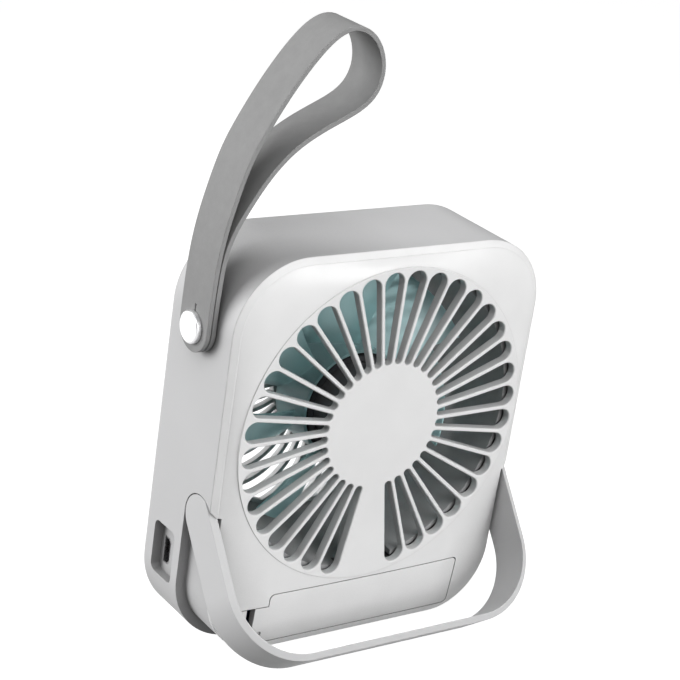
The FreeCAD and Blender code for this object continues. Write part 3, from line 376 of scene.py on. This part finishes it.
def make_finishes():
    """Every finish, under the name of the material slot that it belongs to."""
    return {
        "housing_grey": housing_finish(),
        "cover_white": cover_finish(),
        "stand_grey": moulded("stand_grey", (0.62, 0.62, 0.625)),
        "strap_silicone": strap_finish(),
        "chrome": metal("chrome", (0.95, 0.95, 0.96), 0.45, grain=3 * MM, depth=0.0005 * MM),
        "blade_teal": blade_finish(),
        "black_plastic": moulded("black_plastic", (0.012, 0.012, 0.013), spread=0.2),
        "dark_plastic": moulded("dark_plastic", (0.12, 0.12, 0.125), roughness=0.5,
                                depth=0.012 * MM, spread=0.15),
        "black_steel": moulded("black_steel", (0.012, 0.012, 0.012), roughness=0.35,
                               grain=0.5 * MM, depth=0.008 * MM, spread=0.2),
        "steel": metal("steel", (0.62, 0.62, 0.63), 0.28, grain=0.5 * MM, brushed=4.0),
        "magnet": moulded("magnet", (0.06, 0.06, 0.065), roughness=0.6, grain=0.5 * MM,
                          depth=0.02 * MM, spread=0.2),
        "brass": metal("brass", (0.72, 0.52, 0.24), 0.3, grain=0.5 * MM, brushed=3.0),
        "copper": metal("copper", (0.72, 0.30, 0.14), 0.3, grain=0.3 * MM, brushed=6.0),
        "board_green": board_finish(),
        "cell_sleeve": moulded("cell_sleeve", (0.03, 0.12, 0.35), roughness=0.3, grain=1 * MM,
                               spread=0.1),
        "wire_black": moulded("wire_black", (0.02, 0.02, 0.02), roughness=0.4, grain=0.8 * MM,
                              spread=0.1),
        "lens_clear": lens_finish(),
    }


# ---------------------------------------------------------------- strap

STRAP_WIDTH = 15.1
STRAP_THICKNESS = 1.5
STRAP_ROUNDING = 0.35
STRAP_END_BAND = 0.65
STRAP_ROW_STEP = 1.5
STRAP_END_RAYS = 24
STRAP_SLIT = (3.0, 6.9)
STRAP_COLUMNS = (-7.55, -6.9, -3.5, -0.25, 0.25, 3.5, 6.9, 7.55)
STRAP_SLIT_COLUMN = 3
RIVET_HEIGHT = 105.4

# The loop seen from the rear as (x, z) in millimetres, from the outer end up, over and back.
STRAP_ROUTE = (
    (58.4, 96.0), (58.4, 105.4), (58.2, 119.0), (57.75, 127.0), (56.75, 135.0),
    (54.1, 147.0), (50.8, 157.6), (46.6, 166.2), (41.0, 175.8), (36.3, 182.6), (31.0, 188.9),
    (26.8, 192.3), (22.4, 193.8), (17.3, 192.5), (13.2, 188.6), (11.1, 183.6), (10.9, 178.8),
    (12.9, 173.9), (17.0, 170.3), (22.0, 167.7), (29.0, 164.3), (36.9, 159.3), (44.0, 152.0),
    (50.3, 142.3), (54.2, 134.4), (56.0, 126.6), (56.45, 119.0), (56.65, 112.0),
    (56.65, 105.4), (56.65, 96.0))


class Route:
    """A smooth line through points, measured by the distance along it."""

    def __init__(self, points):
        self.points = np.array(points, float)
        steps = np.linalg.norm(np.diff(self.points, axis=0), axis=1)
        self.places = np.concatenate([[0.0], np.cumsum(steps)])
        self.length = float(self.places[-1])
        self.bends = self._bends(steps)

    def _bends(self, steps):
        """The second derivatives at the points, none at the two ends."""
        count = len(self.points)
        rows = np.eye(count)
        wanted = np.zeros_like(self.points)
        for index in range(1, count - 1):
            before, after = steps[index - 1], steps[index]
            rows[index, index - 1:index + 2] = (before, 2.0 * (before + after), after)
            rise = (self.points[index + 1] - self.points[index]) / after
            climb = (self.points[index] - self.points[index - 1]) / before
            wanted[index] = 6.0 * (rise - climb)
        return np.linalg.solve(rows, wanted)

    def at(self, place):
        """The point at a distance along the line."""
        index = int(np.clip(np.searchsorted(self.places, place) - 1, 0, len(self.points) - 2))
        span = self.places[index + 1] - self.places[index]
        ahead = (place - self.places[index]) / span
        behind = 1.0 - ahead
        curve = ((behind ** 3 - behind) * self.bends[index]
                 + (ahead ** 3 - ahead) * self.bends[index + 1]) * span * span / 6.0
        return behind * self.points[index] + ahead * self.points[index + 1] + curve


def strap_half_end(mesh, columns, place, ahead):
    """Closes the strap with a round end beyond a row of vertices."""
    outer_radius = STRAP_WIDTH / 2
    inner_radius = outer_radius - STRAP_END_BAND
    rims = {}
    for name, radius, first, last in (("outer", outer_radius, columns[0], columns[-1]),
                                      ("inner", inner_radius, columns[1], columns[-2])):
        rim = [first]
        for index in range(1, STRAP_END_RAYS):
            angle = math.pi * index / STRAP_END_RAYS
            along = place + ahead * radius * math.sin(angle)
            rim.append(mesh.verts.new((along, -radius * math.cos(angle), 0.0)))
        rims[name] = rim + [last]
    outer, inner = rims["outer"], rims["inner"]
    for index in range(STRAP_END_RAYS):
        mesh.faces.new((outer[index], outer[index + 1], inner[index + 1], inner[index]))
    mesh.faces.new(inner + list(reversed(columns[2:-2])))


def strap_sheet(mesh, start, finish):
    """The strap laid out flat: x runs along it, y across it."""
    slit_low, slit_top = STRAP_SLIT
    clear = slit_top + STRAP_ROW_STEP
    count = int((finish - start) / STRAP_ROW_STEP)
    middle = np.linspace(start + clear, finish - clear, count)
    places = [start, start + slit_low, start + slit_top, *middle,
              finish - slit_top, finish - slit_low, finish]
    rows = []
    for place in places:
        rows.append([mesh.verts.new((place, across, 0.0)) for across in STRAP_COLUMNS])
    slit_rows = (1, len(rows) - 3)
    for index, (near, far) in enumerate(zip(rows, rows[1:])):
        for column in range(len(STRAP_COLUMNS) - 1):
            if index in slit_rows and column == STRAP_SLIT_COLUMN:
                continue
            mesh.faces.new((near[column], far[column], far[column + 1], near[column + 1]))
    strap_half_end(mesh, rows[0], start, -1.0)
    strap_half_end(mesh, rows[-1], finish, 1.0)


def make_strap(finish):
    """A moulded silicone band with softly rounded edges, both ends slit for the rivet."""
    route = Route(STRAP_ROUTE)
    overrun = RIVET_HEIGHT - STRAP_ROUTE[0][1]
    mesh = bmesh.new()
    strap_sheet(mesh, overrun, route.length - overrun)
    for vertex in mesh.verts:
        x, z = route.at(vertex.co.x)
        vertex.co = SET_DOWN @ (Vector((x, vertex.co.y, z)) * MM)
    bmesh.ops.recalc_face_normals(mesh, faces=mesh.faces)
    for face in mesh.faces:
        face.smooth = True
    data = bpy.data.meshes.new("silicone_strap")
    mesh.to_mesh(data)
    mesh.free()
    strap = bpy.data.objects.new("silicone_strap", data)
    bpy.context.scene.collection.objects.link(strap)
    shell = strap.modifiers.new("thickness", "SOLIDIFY")
    shell.thickness = STRAP_THICKNESS * MM
    shell.offset = 0.0
    rounding = strap.modifiers.new("rounding", "BEVEL")
    rounding.width = STRAP_ROUNDING * MM
    rounding.segments = 3
    rounding.limit_method = "ANGLE"
    rounding.angle_limit = math.radians(50)
    rounding.harden_normals = True
    data.materials.append(finish)
    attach(strap, "strap_body")
    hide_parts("strap")


def dress_nodes(finishes):
    """Gives each CAD node the finish of its material slot."""
    for subpart in frame["record"]["subparts"]:
        node = frame["nodes"][subpart["node"]]
        node.data.materials.clear()
        node.data.materials.append(finishes[subpart["material_slot"]])


def main():
    make_camera()
    finishes = make_finishes()
    dress_nodes(finishes)
    make_strap(finishes["strap_silicone"])
    make_studio()
    bpy.context.scene.view_settings.view_transform = "Standard"


main()
